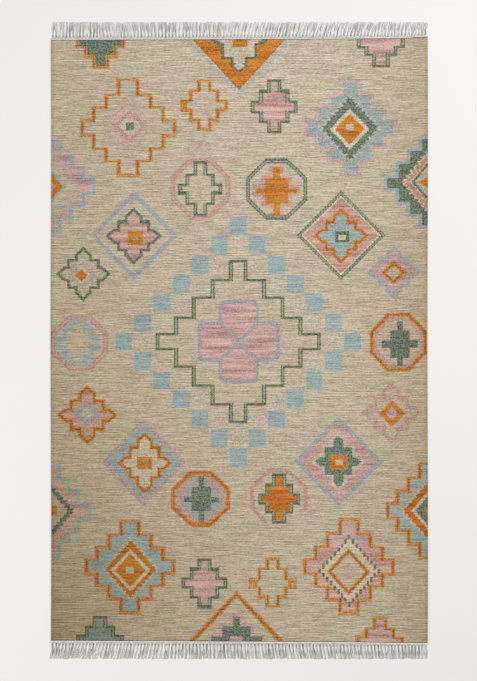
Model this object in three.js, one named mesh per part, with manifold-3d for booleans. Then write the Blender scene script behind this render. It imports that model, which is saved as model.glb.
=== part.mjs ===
// A hand-woven flatweave rug, lying flat: wool wefts beaten over cotton warps, with the warp ends
// knotted and left loose as a fringe at both short ends.
// Units are millimetres. +X runs across the rug, +Y along it towards its far end, +Z up.
// The origin is on the floor, under the middle of everything that is built.
import * as THREE from "three";
import { mergeVertices } from "three/addons/utils/BufferGeometryUtils.js";
import Module from "manifold-3d";

const wasm = await Module();
wasm.setup();

// Driving dimensions of the woven cloth.
const CLOTH_WIDTH = 1524;
const CLOTH_LENGTH = 2438;
const CLOTH_THICKNESS = 4;
const SELVEDGE_WIDTH = 11;
const SELVEDGE_THICKNESS = 5;
const SIDE_WAVE = 1.2;
const SIDE_WAVES = 3;

// Driving dimensions of the fringe. Its tips are trimmed nearly level, however the cloth ends.
const BUNDLES = 110;
const FRINGE_LENGTH = 72;
const LENGTH_SPREAD = 7;
const SWAY = 1.3;
const LEAN_POWER = 1.4;
const TOP_SHARE = 0.62;

// Driving dimensions of the heading, the narrow band that the knots sit on.
const PARTING = 0.3;
const HEADING_DEPTH = 5;
const HEADING_THICKNESS = 4;
const ROOT_DEPTH = 3;

// How far each woven end bows out of square, from the left selvedge to the right one.
const FAR_END_LINE = [
  { across: 0.0, out: -2.5 },
  { across: 0.25, out: -1.2 },
  { across: 0.5, out: 0.3 },
  { across: 0.75, out: 2.0 },
  { across: 0.92, out: 4.0 },
  { across: 1.0, out: 11.0 },
];
const NEAR_END_LINE = [
  { across: 0.0, out: -4.5 },
  { across: 0.25, out: -2.4 },
  { across: 0.5, out: -0.8 },
  { across: 0.75, out: 1.2 },
  { across: 0.92, out: 4.0 },
  { across: 1.0, out: 5.0 },
];

// How far the tips of the fringe lie to the right of their knots.
const FAR_LEAN = [
  { across: 0.0, shift: 3 },
  { across: 0.18, shift: -5 },
  { across: 0.4, shift: 4 },
  { across: 0.58, shift: 17 },
  { across: 0.8, shift: 20 },
  { across: 0.93, shift: 8 },
  { across: 1.0, shift: 1 },
];
const NEAR_LEAN = [
  { across: 0.0, shift: -6 },
  { across: 0.1, shift: -18 },
  { across: 0.22, shift: -14 },
  { across: 0.42, shift: 2 },
  { across: 0.6, shift: 10 },
  { across: 0.85, shift: 8 },
  { across: 1.0, shift: 0 },
];

// One bundle of warp ends: its section at shares of the way from its root to its tip.
const BUNDLE = [
  { along: 0.0, width: 7.0, height: 3.4 },
  { along: 0.08, width: 9.2, height: 5.0 },
  { along: 0.2, width: 5.6, height: 3.6 },
  { along: 0.58, width: 10.0, height: 2.8 },
  { along: 1.0, width: 9.4, height: 1.8 },
];

// The section of the cloth near one selvedge: the heights of its underside and its top.
const SELVEDGE = [
  { inward: 0, under: 0.28 * SELVEDGE_THICKNESS, over: 0.6 * SELVEDGE_THICKNESS },
  { inward: 0.13 * SELVEDGE_WIDTH, under: 0, over: 0.88 * SELVEDGE_THICKNESS },
  { inward: 0.45 * SELVEDGE_WIDTH, under: 0, over: SELVEDGE_THICKNESS },
  { inward: SELVEDGE_WIDTH, under: 0, over: CLOTH_THICKNESS },
];

// The grid of points over the cloth: rows from end to end, columns from side to side.
const ROWS = 24;
const COLUMNS = 20;
const MERGE_DISTANCE = 1e-4;

// The value of one column of a table at a share across the rug, eased between its rows.
function tableValue(table, column, across) {
  const upper = Math.max(1, table.findIndex((row) => row.across >= across));
  const [a, b] = [table[upper - 1], table[upper]];
  const share = THREE.MathUtils.smoothstep(across, a.across, b.across);
  return THREE.MathUtils.lerp(a[column], b[column], share);
}

// The x of each column of the grid, with both sides.
const STATIONS = Array.from({ length: COLUMNS + 1 }, (_, i) => CLOTH_WIDTH * (i / COLUMNS - 0.5));

// The y of a woven end at x, straight from one column to the next, so that the cloth and the
// heading beside it share one line. End is +1 at the far end and -1 at the near one.
function endLine(x, end) {
  const table = end > 0 ? FAR_END_LINE : NEAR_END_LINE;
  const place = (x / CLOTH_WIDTH + 0.5) * COLUMNS;
  const column = THREE.MathUtils.clamp(Math.floor(place), 0, COLUMNS - 1);
  const out = THREE.MathUtils.lerp(
    tableValue(table, "out", column / COLUMNS),
    tableValue(table, "out", (column + 1) / COLUMNS),
    place - column,
  );
  return end * (CLOTH_LENGTH / 2 + out);
}

// A number between -1 and 1 that looks random from one index to the next, but is the same each
// time: two waves whose steps share no common multiple.
function unevenness(index, seed) {
  return Math.sin(13 * index + 78 * seed) * Math.cos(4.1 * index + seed);
}

// A closed surface through rings of equally many points, with both ends capped. Each ring runs
// along its underside and then back along its top, over the same places.
function loft(rings) {
  const count = rings[0].length;
  const faces = [];
  for (let r = 0; r < rings.length - 1; r++) {
    for (let i = 0; i < count; i++) {
      const a = r * count + i;
      const b = r * count + ((i + 1) % count);
      faces.push(a, b + count, b, a, a + count, b + count);
    }
  }
  const last = (rings.length - 1) * count;
  for (let under = 0; under < count / 2 - 1; under++) {
    const over = count - 1 - under;
    faces.push(under, under + 1, over - 1, under, over - 1, over);
    faces.push(last + under, last + over - 1, last + under + 1);
    faces.push(last + under, last + over, last + over - 1);
  }
  const geometry = new THREE.BufferGeometry().setFromPoints(rings.flat());
  geometry.setIndex(faces);
  return geometry;
}

// The woven cloth: its cross-section carried from the near end to the far one.
function clothGeometry() {
  const half = CLOTH_WIDTH / 2;
  const left = SELVEDGE.map(({ inward, under, over }) => ({ x: inward - half, under, over }));
  const flat = STATIONS.slice(1, -1).map((x) => ({ x, under: 0, over: CLOTH_THICKNESS }));
  const right = left.toReversed().map(({ x, under, over }) => ({ x: -x, under, over }));
  const places = [...left, ...flat, ...right];
  const section = [
    ...places.map(({ x, under }) => [x, under]),
    ...places.toReversed().map(({ x, over }) => [x, over]),
  ];
  const rings = Array.from({ length: ROWS + 1 }, (_, row) => {
    const along = row / ROWS;
    const wave = SIDE_WAVE * Math.sin(along * SIDE_WAVES * Math.PI);
    return section.map(([x, z]) => {
      const y = THREE.MathUtils.lerp(endLine(x, -1), endLine(x, 1), along);
      return new THREE.Vector3(x + wave * Math.abs(x / half), y, z);
    });
  });
  return loft(rings);
}

// The heading that the knots sit on: a narrow strip along a woven end, parted from the cloth.
function headingGeometry(end) {
  const edge = (out) => STATIONS.map((x) => new THREE.Vector2(x, endLine(x, end) + end * out));
  const outline = [...edge(PARTING), ...edge(PARTING + HEADING_DEPTH).toReversed()];
  return new THREE.ExtrudeGeometry(new THREE.Shape(outline), {
    depth: HEADING_THICKNESS,
    bevelEnabled: false,
  });
}

// One bundle of the fringe, lying on the floor from inside the heading to its loose tip. Its
// sections are flat underneath and narrower on top, and their middles follow the lean.
function bundleGeometry(index, end) {
  const pitch = CLOTH_WIDTH / BUNDLES;
  const rootX = (index + 0.5) * pitch - CLOTH_WIDTH / 2;
  const across = rootX / CLOTH_WIDTH + 0.5;
  const lean = tableValue(end > 0 ? FAR_LEAN : NEAR_LEAN, "shift", across);
  const shift = lean + SWAY * unevenness(index, end);
  const rootY = endLine(rootX, end) + end * (PARTING + HEADING_DEPTH - ROOT_DEPTH);
  const trim = LENGTH_SPREAD * Math.abs(unevenness(index, 2 * end));
  const length = CLOTH_LENGTH / 2 + FRINGE_LENGTH - trim - Math.abs(rootY);
  const rings = BUNDLE.map(({ along, width, height }) => {
    const x = rootX + shift * along ** LEAN_POWER;
    const y = rootY + end * length * along;
    return [
      [-width / 2, 0],
      [width / 2, 0],
      [(TOP_SHARE * width) / 2, height],
      [(-TOP_SHARE * width) / 2, height],
    ].map(([dx, z]) => new THREE.Vector3(x + dx, y, z));
  });
  // The rings of a surface run towards +Y, so those of the near end are taken from tip to root.
  return loft(end > 0 ? rings : rings.toReversed());
}

// The solid inside a closed geometry, whose shared points are merged first.
function solidOf(geometry) {
  const bare = new THREE.BufferGeometry().setAttribute("position", geometry.attributes.position);
  bare.setIndex(geometry.index);
  const merged = mergeVertices(bare, MERGE_DISTANCE);
  return new wasm.Manifold(
    new wasm.Mesh({
      numProp: 3,
      vertProperties: merged.attributes.position.array,
      triVerts: new Uint32Array(merged.index.array),
    }),
  );
}

// The geometry of a solid's surface.
function geometryOf(solid) {
  const { vertProperties, triVerts } = solid.getMesh();
  const geometry = new THREE.BufferGeometry();
  geometry.setAttribute("position", new THREE.BufferAttribute(vertProperties, 3));
  geometry.setIndex(new THREE.BufferAttribute(triVerts, 1));
  geometry.computeVertexNormals();
  return geometry;
}

// A whole fringe: the heading with every bundle fused into it at its root.
function fringeGeometry(end) {
  const bundles = Array.from({ length: BUNDLES }, (_, i) => solidOf(bundleGeometry(i, end)));
  return geometryOf(wasm.Manifold.union([solidOf(headingGeometry(end)), ...bundles]));
}

const wool = new THREE.MeshStandardMaterial({ color: 0xb9aa8c, roughness: 0.95, metalness: 0 });
const cotton = new THREE.MeshStandardMaterial({ color: 0xdad7d2, roughness: 0.9, metalness: 0 });

// One sub-part of the rug, under its own name.
function namedMesh(name, geometry, material) {
  const mesh = new THREE.Mesh(geometry, material);
  mesh.name = name;
  return mesh;
}

const rug = new THREE.Group();
rug.add(namedMesh("rug_body", clothGeometry(), wool));
rug.add(namedMesh("fringe_far", fringeGeometry(1), cotton));
rug.add(namedMesh("fringe_near", fringeGeometry(-1), cotton));

// The middle of everything that is built goes over the origin.
const middle = new THREE.Box3().setFromObject(rug).getCenter(new THREE.Vector3());
rug.position.set(-middle.x, -middle.y, 0);

export default rug;
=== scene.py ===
# %% [markdown]
# A flatweave rug, lying flat on a pale floor and seen from straight above.
# The real rug is one cloth: wool weft is beaten down over cotton warps until the warps are
# hidden, and every figure is woven in by changing the colour of the weft. At both short ends the
# warps are gathered into bundles, knotted against the cloth and left loose as a fringe.
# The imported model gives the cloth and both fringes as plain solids. This lesson keeps their
# places and sizes, and gives them their woven figures, their yarn and their cords.

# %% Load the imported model
from functools import partial

import bpy
import numpy as np
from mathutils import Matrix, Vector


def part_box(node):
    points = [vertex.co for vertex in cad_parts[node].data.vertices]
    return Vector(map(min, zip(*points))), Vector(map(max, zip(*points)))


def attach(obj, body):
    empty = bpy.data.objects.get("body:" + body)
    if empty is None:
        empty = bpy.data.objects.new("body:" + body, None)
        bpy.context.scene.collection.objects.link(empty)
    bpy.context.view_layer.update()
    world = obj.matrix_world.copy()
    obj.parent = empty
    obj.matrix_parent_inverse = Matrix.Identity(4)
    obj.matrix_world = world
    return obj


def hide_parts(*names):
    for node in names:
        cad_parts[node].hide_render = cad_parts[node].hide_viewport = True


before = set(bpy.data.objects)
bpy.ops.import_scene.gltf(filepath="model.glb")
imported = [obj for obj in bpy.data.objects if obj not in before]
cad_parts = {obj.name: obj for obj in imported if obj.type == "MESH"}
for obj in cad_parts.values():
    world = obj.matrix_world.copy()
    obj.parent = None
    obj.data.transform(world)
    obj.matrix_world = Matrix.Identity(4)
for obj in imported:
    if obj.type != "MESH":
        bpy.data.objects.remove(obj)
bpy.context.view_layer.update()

# %% [markdown]
# Blender works in metres, but a weaver's numbers are easier to read in millimetres, so places on
# the rug are in millimetres from the middle of the cloth: x to the right and y to the far end.
# The cloth isn't quite a rectangle. Its sides swing a little, and each woven end bows out of
# square, more so at the right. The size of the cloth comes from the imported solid. The table of an
# end has one row for each place where its bow is known: how far across it lies, as a share, and
# how far it stands out.

# %% The size and the place of the cloth
MM = 0.001
SIDE_WAVE = 1.2
SIDE_WAVES = 3
FAR_END_LINE = [(0.0, -2.5), (0.25, -1.2), (0.5, 0.3), (0.75, 2.0), (0.92, 4.0), (1.0, 11.0)]
NEAR_END_LINE = [(0.0, -4.5), (0.25, -2.4), (0.5, -0.8), (0.75, 1.2), (0.92, 4.0), (1.0, 5.0)]

low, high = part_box("rug_body")
CLOTH_WIDTH = (high.x - low.x) / MM - 2 * SIDE_WAVE
CLOTH_LENGTH = (high.y - low.y) / MM - FAR_END_LINE[-1][1] - NEAR_END_LINE[-1][1]
SHIFT_X = (low.x + high.x) / 2 / MM
SHIFT_Y = low.y / MM + CLOTH_LENGTH / 2 + NEAR_END_LINE[-1][1]
HALF_WIDTH = CLOTH_WIDTH / 2
print("cloth", round(CLOTH_WIDTH, 1), "by", round(CLOTH_LENGTH, 1), "mm")


# %% Where a woven end runs
COLUMNS = 20
STATIONS = CLOTH_WIDTH * (np.arange(COLUMNS + 1) / COLUMNS - 0.5)


def eased(table, share):
    """A table's value at a share across the rug: 3t² - 2t³ of the way from one row to the next."""
    across, value = np.array(table).T
    upper = np.clip(np.searchsorted(across, share), 1, len(across) - 1)
    t = (share - across[upper - 1]) / (across[upper] - across[upper - 1])
    return value[upper - 1] + (value[upper] - value[upper - 1]) * t * t * (3 - 2 * t)


def end_line(x, end):
    """The y of a woven end at x: half the length plus its bow, straight between the stations."""
    bow = eased(FAR_END_LINE if end > 0 else NEAR_END_LINE, STATIONS / CLOTH_WIDTH + 0.5)
    return end * (CLOTH_LENGTH / 2 + np.interp(x, STATIONS, bow))


def in_metres(x, y, z):
    """Points in millimetres from the cloth's middle, as points in metres in the rug's frame."""
    return np.stack([x + SHIFT_X, y + SHIFT_Y, z], -1) * MM


sides = np.array([-HALF_WIDTH, HALF_WIDTH])
print("far end at", end_line(sides, 1).round(1), "near end at", end_line(sides, -1).round(1))

# %% [markdown]
# The photograph was taken from straight above, with the far end of the rug at the top. A long
# lens high up gives that look. The picture takes in 2758 mm of floor from top to bottom.

# %% The camera
PICTURE_LENGTH = 2758
PICTURE_MIDDLE_X = -1.6
LENS = 100
SENSOR = 36

camera = bpy.data.objects.new("camera", bpy.data.cameras.new("camera"))
bpy.context.scene.collection.objects.link(camera)
camera.data.lens = LENS
camera.data.sensor_width = SENSOR
camera.location = (PICTURE_MIDDLE_X * MM, 0, PICTURE_LENGTH * MM * LENS / SENSOR)
bpy.context.scene.camera = camera
print("camera height", round(camera.location.z, 3))

# %% [markdown]
# A loom only makes small steps: along the rug one course of weft after another, and across it
# one warp after another. So the figures are charted as a weaver charts them, on squared paper
# with a yarn in each square. Here the paper is an array with one row a course and one column a
# warp. It could also be an image, but an image can't be edited by a formula. Each figure is
# worked out from its middle and its size, and painted over what is there already.

# %% The squared paper
WARPS = 600
COURSES = 480
YARNS = [
    "ground", "pale", "cream", "orange", "rust", "umber", "gold",
    "green", "moss", "sage", "blue", "lilac", "pink", "blush", "rose", "salmon",
]
(
    GROUND, PALE, CREAM, ORANGE, RUST, UMBER, GOLD,
    GREEN, MOSS, SAGE, BLUE, LILAC, PINK, BLUSH, ROSE, SALMON,
) = range(len(YARNS))

chart = np.full((COURSES, WARPS), GROUND)
second = chart.copy()
second_share = np.zeros((COURSES, WARPS))
warp_x = CLOTH_WIDTH * ((np.arange(WARPS) + 0.5) / WARPS - 0.5)
course_y = CLOTH_LENGTH * ((np.arange(COURSES) + 0.5) / COURSES - 0.5)
print("one square is", round(CLOTH_WIDTH / WARPS, 2), "by", round(CLOTH_LENGTH / COURSES, 2), "mm")

# %% [markdown]
# Some parts of the figures are not one clear colour. There the weaver carried two yarns
# together, and now one of them lies on top, now the other. So each square of the paper has room
# for a second yarn too, and for its share of the colour. A shape is painted with one yarn, or
# with a fleck beside it, which is a second yarn and its share.


# %% Painting with one yarn or two
def flecked(shape, yarn, share):
    """Carries a second yarn along in a shape, and gives it a share of the colour."""
    second[shape] = yarn
    second_share[shape] = share


def paint(shape, yarn, fleck=None):
    """Gives the squares of a shape one yarn, and either nothing else or a fleck."""
    chart[shape] = yarn
    flecked(shape, *(fleck or (yarn, 0)))


def nested(kind, middle, layers):
    """Paints one shape inside another over one middle. A layer is a size, a yarn and any fleck."""
    for size, *yarns in layers:
        paint(kind(*middle, *size), *yarns)


def print_painted(figures):
    """How much of the cloth is not plain ground once these figures are painted."""
    print("with", figures, int((chart != GROUND).sum()), "squares are painted")


# %% [markdown]
# A shape is an array with a yes or a no for every square, so that two shapes can be joined,
# crossed or cut out of each other. All sizes are half sizes, from the middle to a side.

# %% Plain shapes
FLAT_INSET = 0.41


def away(x, y):
    """How far each square lies from a point: across the rug, and along it."""
    return abs(warp_x[None, :] - x), abs(course_y[:, None] - y)


def beyond(y):
    """The courses on the far side of y."""
    return course_y[:, None] > y


def block(x, y, width, length):
    """Where dx is under the width and dy is under the length."""
    dx, dy = away(x, y)
    return (dx < width) & (dy < length)


def lozenge(x, y, width, length, inset=0):
    """Where dx / width + dy / length is under 1."""
    dx, dy = away(x, y)
    return dx / (width - inset) + dy / (length - inset) < 1


def toothed(x, y, width, length, tooth, depth):
    """A lozenge whose limit of 1 is cut back by a saw wave of dy, up to a share called depth."""
    dx, dy = away(x, y)
    saw = abs(dy / tooth % 1 - 0.5) * 2
    return dx / width + dy / length < 1 - depth * saw


def octagon(x, y, width, length, flat, inset=0):
    """A block whose corners are cut straight from the end of one flat side to the next."""
    dx, dy = away(x, y)
    width, length, flat = width - inset, length - inset, flat - FLAT_INSET * inset
    corner = (dx - flat) / (width - flat) + (dy - flat) / (length - flat) < 1
    return (dx < width) & (dy < length) & (corner | (dx < flat) | (dy < flat))


# %% [markdown]
# An outline is painted as a figure inside a figure. The dark green outlines have a lighter line
# along their middle, the orange ones a browner line and the pale pink ones a paler line, which
# is how two yarns look when they are carried side by side.

# %% Outlines
CORE = {MOSS: SAGE, RUST: UMBER, PINK: PALE, ROSE: BLUSH}
CORE_START = 0.33
CORE_STOP = 0.7


def outlined(figure, rim, fill, width, fleck=None):
    """Paints a figure, which is a function of its inset: its rim, its core, its rim and its fill."""
    for share, yarn in ((0, rim), (CORE_START, CORE[rim]), (CORE_STOP, rim)):
        paint(figure(share * width), yarn)
    paint(figure(width), fill, fleck)


# %% [markdown]
# Most of the figures are stepped, because steps are what a loom makes best. A stepped figure is
# a few blocks over one middle, each wider and shorter than the one before. Its upright bars
# are wider than its level beams.

# %% Stepped shapes
CROSS = [(0.31, 1.0), (0.645, 0.62), (1.0, 0.23)]
MEDALLION = [(0.24, 1.0), (0.51, 0.71), (0.766, 0.443), (1.0, 0.186)]
BAR = 16
BEAM = 11


def steps(x, y, levels, bar=0, beam=0):
    """Blocks over one middle, each less a bar across and a beam along."""
    return np.any([block(x, y, width - bar, length - beam) for width, length in levels], axis=0)


def scaled(levels, width, length):
    """The levels of a figure one wide and one long, brought to its real half sizes."""
    return [(a * width, b * length) for a, b in levels]


def stepped(x, y, levels, rim, fill, bar=BAR, beam=BEAM, fleck=None):
    """A stepped figure with an outline and a filling. Only its upright bars have a core."""
    paint(steps(x, y, levels), rim)
    if rim in CORE:
        paint(steps(x, y, levels, CORE_START * bar, beam), CORE[rim])
        paint(steps(x, y, levels, CORE_STOP * bar, beam), rim)
    paint(steps(x, y, levels, bar, beam), fill, fleck)


# %% [markdown]
# Two more figures come up again and again: an eight-pointed star, which is a block with four
# pointed lobes, and a round of small dots.

# %% Stars and dots
STAR_BLOCK = (0.59, 0.54)
LOBE_SHARE = 0.82
POINT_INSET = 1.4
UPRIGHT_SLOPE = 1.05
CROSSING_SLOPE = 0.9


def star(x, y, width, length, lobe, inset=0):
    """A block with an upright and a crossing lobe, each narrowing to a point at its reach."""
    dx, dy = away(x, y)
    body = (dx < STAR_BLOCK[0] * width - inset) & (dy < STAR_BLOCK[1] * length - inset)
    reach_x, reach_y = width - POINT_INSET * inset, length - POINT_INSET * inset
    upright = dx < np.minimum(lobe - inset, UPRIGHT_SLOPE * (reach_y - dy))
    crossing = dy < np.minimum(LOBE_SHARE * (lobe - inset), CROSSING_SLOPE * (reach_x - dx))
    return body | upright | crossing


def four_ways(x, y, right, up):
    """The four points as far to each side of a middle as the first one is right of and above it."""
    return [(x + a * right, y + b * up) for a in (-1, 1) for b in (-1, 1)]


def dots(x, y, width, length, count, size, yarn):
    """Small blocks in a lozenge, evenly placed from its side points to its end points."""
    for share in np.arange(count + 1) / count:
        for dot_x, dot_y in four_ways(x, y, width * share, length * (1 - share)):
            paint(block(dot_x, dot_y, *size), yarn)


# %% [markdown]
# The middle of the rug is one large stepped lozenge. Outside is a round of blue squares that
# touch at their corners, then a round of pale ones, then a green outline, and inside it lies a
# flower of four petals that are parted along both diagonals.

# %% The middle of the rug
MIDDLE = (-4, -6)
SQUARE_STEP = (77.2, 78.2)
SQUARE = (34, 36)
ROUND_STEPS = 6

for count, yarn in ((ROUND_STEPS, BLUE), (ROUND_STEPS - 1, PALE)):
    for i in range(count + 1):
        for x, y in four_ways(*MIDDLE, SQUARE_STEP[0] * i, SQUARE_STEP[1] * (count - i)):
            paint(block(x, y, *SQUARE), yarn)

MIDDLE_LEVELS = [(38, 329), (113, 257), (188, 183), (260, 105), (335, 36)]
stepped(*MIDDLE, MIDDLE_LEVELS, MOSS, GROUND, bar=17, beam=10.2)

# %% The flower in the middle
FLOWER_SHIFT = 2
FLOWER_LINE = 14
PETAL_GAP = 10
PETAL = (67, 166)


def petals(across, along, half, reach):
    """Both petals of one line: a band of half a width and a reach, with its corners cut off."""
    return (across < half) & (along < reach) & (across + along < reach + half - FLOWER_LINE)


dx, dy = away(MIDDLE[0] + FLOWER_SHIFT, MIDDLE[1])
for across, along in ((dx, dy), (dy, dx)):
    paint(petals(across, along, PETAL[0] + FLOWER_LINE, PETAL[1]), LILAC, (BLUE, 0.12))
for across, along in ((dx, dy), (dy, dx)):
    inside = petals(across, along, PETAL[0], PETAL[1] - FLOWER_LINE)
    paint(inside & (across < along - PETAL_GAP), PINK)
print_painted("the middle")

# %% [markdown]
# Near the corners lie four large medallions, and along both sides four halves of them that run
# off the cloth. They share one stepped outline and differ in size, in yarn and in the lozenges
# within, some of which have toothed edges. The lozenges sit a little off the outline's middle,
# because a weaver who counts by eye doesn't land on it.

# %% Medallions near the far corners
stepped(-450, 861, scaled(MEDALLION, 195, 200), RUST, GROUND, bar=18, beam=12)
for arm in [(-613, 861, 14, 24), (-287, 861, 14, 24), (-450, 1024, 26, 22)]:
    flecked(block(*arm), BLUE, 0.35)
flecked(lozenge(-446, 862, 132, 150), BLUSH, 0.5)
flecked(lozenge(-446, 862, 132, 150) & ~lozenge(-446, 862, 112, 128), PINK, 0.4)
nested(lozenge, (-444, 869), [((70, 68), BLUSH, (ROSE, 0.4)), ((48, 47), PALE)])
paint(block(-444, 867, 17, 16), GREEN)

levels = scaled(MEDALLION, 189, 194)
stepped(450, 860, levels, PINK, BLUE, bar=17, beam=11)
flecked(steps(450, 860, levels), LILAC, 0.35)
flecked(steps(450, 860, levels, 17, 11), SAGE, 0.35)
nested(toothed, (447, 857), [
    ((135, 152, 18, 0.14), PALE, (BLUE, 0.35)),
    ((122, 139, 18, 0.14), GREEN, (MOSS, 0.3)),
])
nested(lozenge, (446, 854), [((80, 83), CREAM), ((60, 63), ORANGE)])
flecked(lozenge(446, 854, 60, 63) & ~beyond(850), UMBER, 0.3)
flecked(lozenge(446, 854, 60, 63) & beyond(866), GOLD, 0.8)
paint(block(447, 861, 15, 14), PALE)
print_painted("the far medallions")

# %% Medallions near the near corners
stepped(-443, -918, scaled(MEDALLION, 186, 192), RUST, BLUE, bar=19, beam=13)
nested(toothed, (-440, -928), [
    ((121, 138, 15, 0.12), CREAM, (BLUE, 0.3)),
    ((110, 126, 15, 0.12), ORANGE, (UMBER, 0.35)),
])
nested(lozenge, (-441, -932), [((81, 86), CREAM), ((62, 68), ORANGE)])
paint(block(-443, -932, 16, 14), PALE)

levels = scaled(MEDALLION, 187, 198)
stepped(444, -914, levels, RUST, PINK, bar=18, beam=13, fleck=(SALMON, 0.6))
flecked(steps(444, -914, levels, 18, 13) & beyond(-830), LILAC, 0.25)
paint(toothed(445, -931, 126, 142, 18, 0.1), CREAM)
dots(445, -931, 119, 135, 8, (5, 9), MOSS)
outlined(partial(lozenge, 442, -935, 89, 97), RUST, GROUND, 24)
flecked(lozenge(442, -935, 40, 44), BLUSH, 0.3)
print_painted("the near medallions")

# %% Half medallions at the left side
LEFT_SIDE = -763
levels = scaled(MEDALLION, 182, 190)
stepped(LEFT_SIDE, 624, levels, BLUE, PINK, bar=15, beam=9, fleck=(LILAC, 0.3))
paint(toothed(LEFT_SIDE, 626, 128, 162, 20, 0.14), GROUND, (LILAC, 0.35))
nested(lozenge, (LEFT_SIDE, 624), [
    ((90, 100), GROUND), ((63, 66), BLUE), ((50, 54), ORANGE), ((18, 20), BLUSH),
])

levels = [(41, 191), (78, 129), (119, 91), (164, 37)]
stepped(LEFT_SIDE, -695, levels, BLUE, BLUSH, bar=17, beam=10, fleck=(PINK, 0.45))
nested(toothed, (LEFT_SIDE, -692), [
    ((102, 116, 16, 0.15), MOSS, (GREEN, 0.4)),
    ((72, 82, 16, 0.1), GROUND, (BLUSH, 0.6)),
])
nested(block, (LEFT_SIDE, -691), [((24, 20), GOLD), ((18, 15), ORANGE)])
print_painted("the left half medallions")

# %% Half medallions at the right side
RIGHT_SIDE = 762
levels = [(38, 185), (87, 137), (131, 88), (179, 31)]
stepped(RIGHT_SIDE, 635, levels, BLUE, GREEN, bar=15, beam=10, fleck=(MOSS, 0.35))
nested(toothed, (RIGHT_SIDE, 637), [
    ((112, 134, 18, 0.15), CREAM),
    ((100, 121, 18, 0.12), SALMON, (ROSE, 0.35)),
])
nested(lozenge, (RIGHT_SIDE, 637), [((72, 85), CREAM), ((66, 78), GREEN), ((52, 62), PALE)])
nested(lozenge, (RIGHT_SIDE, 634), [((38, 24), GOLD), ((30, 18), ORANGE)])

levels = scaled(MEDALLION, 171, 196)
stepped(RIGHT_SIDE, -687, levels, RUST, BLUE, bar=18, beam=13, fleck=(PALE, 0.2))
nested(toothed, (RIGHT_SIDE, -687), [
    ((114, 130, 18, 0.12), CREAM, (BLUE, 0.2)),
    ((104, 120, 18, 0.1), ORANGE, (UMBER, 0.3)),
])
nested(lozenge, (RIGHT_SIDE, -687), [((66, 76), CREAM), ((50, 58), GREEN)])
paint(block(RIGHT_SIDE, -687, 12, 14), ORANGE)
print_painted("the right half medallions")

# %% [markdown]
# Small stepped crosses fill the room between the medallions, and four more are cut in half by
# the woven ends.

# %% Small crosses
for x, y, half_width, half_length, rim, fill in [
    (-142, 951, 97, 105, RUST, GROUND),
    (141, 946, 95, 109, MOSS, PINK),
    (-141, -984, 93, 101, MOSS, PINK),
    (135, -981, 96, 102, RUST, GROUND),
]:
    stepped(x, y, scaled(CROSS, half_width, half_length), rim, fill)
flecked(block(141, 1027, 13, 18), GROUND, 0.6)
paint(block(-225, 951, 14, 22), GOLD)
paint(block(57, -981, 18, 20), RUST)
paint(block(213, -981, 16, 20), RUST)

for x, end, levels, rim, fill in [
    (-562, 1, [(102, 38), (68, 74), (36, 118)], RUST, GREEN),
    (573, 1, [(97, 40), (67, 73), (36, 119)], MOSS, PINK),
    (-564, -1, [(97, 26), (61, 63), (30, 101)], MOSS, BLUE),
    (569, -1, [(98, 24), (63, 63), (31, 101)], RUST, PINK),
]:
    stepped(x, end * CLOTH_LENGTH / 2, levels, rim, fill)
flecked(steps(-562, CLOTH_LENGTH / 2, [(87, 27), (53, 63), (21, 107)]), MOSS, 0.2)
flecked(steps(-564, -CLOTH_LENGTH / 2, [(81, 15), (45, 52), (14, 90)]), GREEN, 0.3)
print_painted("the crosses")

# %% [markdown]
# Six octagons, each with a small cross within, stand between the large figures. A figure that
# is painted at several insets is kept as a function of the inset alone, with partial.

# %% Octagons at the far end
ring = partial(octagon, -157, 617, 121, 122, 46)
outlined(ring, ROSE, GROUND, 20)
flecked(ring() & ~ring(20), BLUSH, 0.4)
stepped(-158, 614, [(28, 112), (60, 64), (90, 23)], MOSS, GROUND)

outlined(partial(octagon, 151, 612, 124, 122, 45), MOSS, PALE, 16)
cross = partial(steps, 151, 606, [(14, 97), (48, 51), (83, 10)])
flecked(cross(bar=-14, beam=-12), SALMON, 0.8)
paint(cross(), ORANGE, (RUST, 0.15))
paint(block(151, 672, 14, 14), GOLD)

# %% Octagons at the sides
ring = partial(octagon, -645, -10, 116, 113, 44)
outlined(ring, ROSE, GROUND, 22)
flecked(ring() & ~ring(22), BLUSH, 0.4)
levels = [(40, 97), (64, 67), (90, 27)]
stepped(-652, -12, levels, BLUE, GROUND, bar=22, beam=18)
flecked(steps(-652, -12, levels) & ~steps(-652, -12, levels, 22, 18), GROUND, 0.2)

ring = partial(octagon, 645, -8, 117, 121, 44)
outlined(ring, RUST, BLUSH, 18, (SALMON, 0.5))
paint(ring(32), PALE, (BLUSH, 0.35))
paint(steps(651, -14, [(12, 90), (40, 56), (74, 16)]), GREEN, (MOSS, 0.25))

# %% Octagons at the near end
ring = partial(octagon, -156, -641, 120, 115, 41)
outlined(ring, RUST, PINK, 18, (GOLD, 0.3))
flecked(ring() & ~ring(18), ORANGE, 0.3)
paint(ring(26), LILAC, (BLUSH, 0.5))
flecked(lozenge(-154, -644, 86, 96) & ring(26), BLUE, 0.4)
paint(steps(-154, -644, [(11, 90), (40, 48), (70, 10)]), GREEN, (MOSS, 0.2))

ring = partial(octagon, 160, -638, 116, 117, 44)
paint(ring(), BLUSH, (ROSE, 0.5))
near_right = ~beyond(-690) & (warp_x > 110)
flecked(ring() & near_right, GROUND, 0.75)
paint(ring(16), GROUND)
stepped(161, -642, [(29, 102), (57, 61), (86, 24)], MOSS, ORANGE)
paint(block(161, -564, 12, 12), GOLD)
paint(block(161, -724, 12, 8), GOLD)
print_painted("the octagons")

# %% [markdown]
# Four lozenges lean against the middle figure, each with a star in it.

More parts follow.
